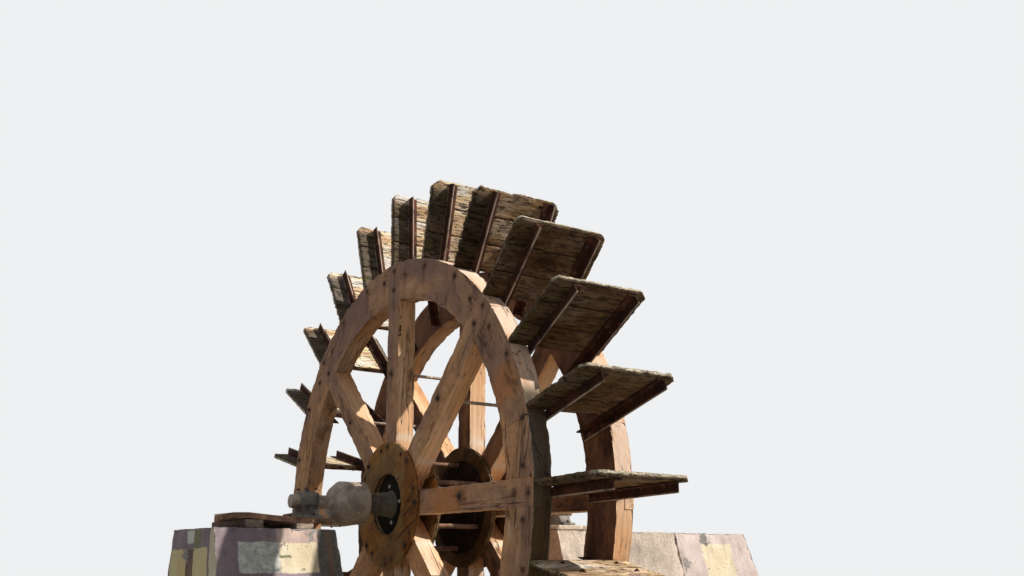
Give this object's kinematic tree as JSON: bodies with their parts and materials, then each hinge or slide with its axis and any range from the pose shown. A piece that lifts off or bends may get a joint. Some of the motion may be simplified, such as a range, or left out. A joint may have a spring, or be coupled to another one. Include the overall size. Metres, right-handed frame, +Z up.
{
  "type": "water wheel",
  "caption": "Timber water wheel with plank paddles on a steel axle, turning in plummer blocks on two concrete piers.",
  "frame": {"origin": "ground level under the middle of the part's length and width", "axes": "+Y along the axle from the near pier to the far pier, +X across the wheel, +Z up"},
  "size_m": [3.5694, 3.7386, 3.6957],
  "materials": {
    "painted_render": "matt paint on rough render",
    "rough_concrete": "rough cast concrete",
    "rusted_steel": "rusted",
    "grey_steel": "weathered grey steel",
    "pale_plate": "pale worn paint",
    "bearing_iron": "dirty cast iron",
    "rim_timber": "weathered, cracked timber with worn paint",
    "hub_timber": "orange brown stained timber",
    "paddle_timber": "rough weathered planks",
    "packer_timber": "dirty timber"
  },
  "bodies": {
    "supports": {"pier_near": "painted_render", "pier_far": "rough_concrete", "pier_far_end": "painted_render", "bearing_channel": "rusted_steel", "bearing_plate": "pale_plate", "packers": "packer_timber", "bearing_bases": "bearing_iron", "bearing_caps": "bearing_iron"},
    "wheel": {"axle_shaft": "grey_steel", "axle_collars": "grey_steel", "hub_bosses": "rusted_steel", "hub_flanges": "rusted_steel", "hub_tie_bars": "rusted_steel", "hub_discs_front": "hub_timber", "hub_discs_back": "hub_timber", "rim_front": "rim_timber", "rim_back": "rim_timber", "spokes_front": "rim_timber", "spokes_back": "rim_timber", "tie_rods": "grey_steel", "brackets_front": "rusted_steel", "brackets_back": "rusted_steel", "paddle_01": "paddle_timber", "paddle_02": "paddle_timber", "paddle_03": "paddle_timber", "paddle_04": "paddle_timber", "paddle_05": "paddle_timber", "paddle_06": "paddle_timber", "paddle_07": "paddle_timber", "paddle_08": "paddle_timber", "paddle_09": "paddle_timber", "paddle_10": "paddle_timber", "paddle_11": "paddle_timber", "paddle_12": "paddle_timber", "paddle_13": "paddle_timber", "paddle_14": "paddle_timber", "paddle_15": "paddle_timber", "paddle_16": "paddle_timber", "paddle_17": "paddle_timber", "paddle_18": "paddle_timber", "paddle_19": "paddle_timber", "paddle_20": "paddle_timber", "paddle_21": "paddle_timber", "paddle_22": "paddle_timber", "paddle_23": "paddle_timber", "paddle_24": "paddle_timber"}
  },
  "joints": [
    {"name": "wheel_spin", "type": "hinge", "parent": "supports", "child": "wheel", "pos_m": [0, -0.5143, 1.911], "axis": [0, 1, 0], "continuous": true}
  ]
}
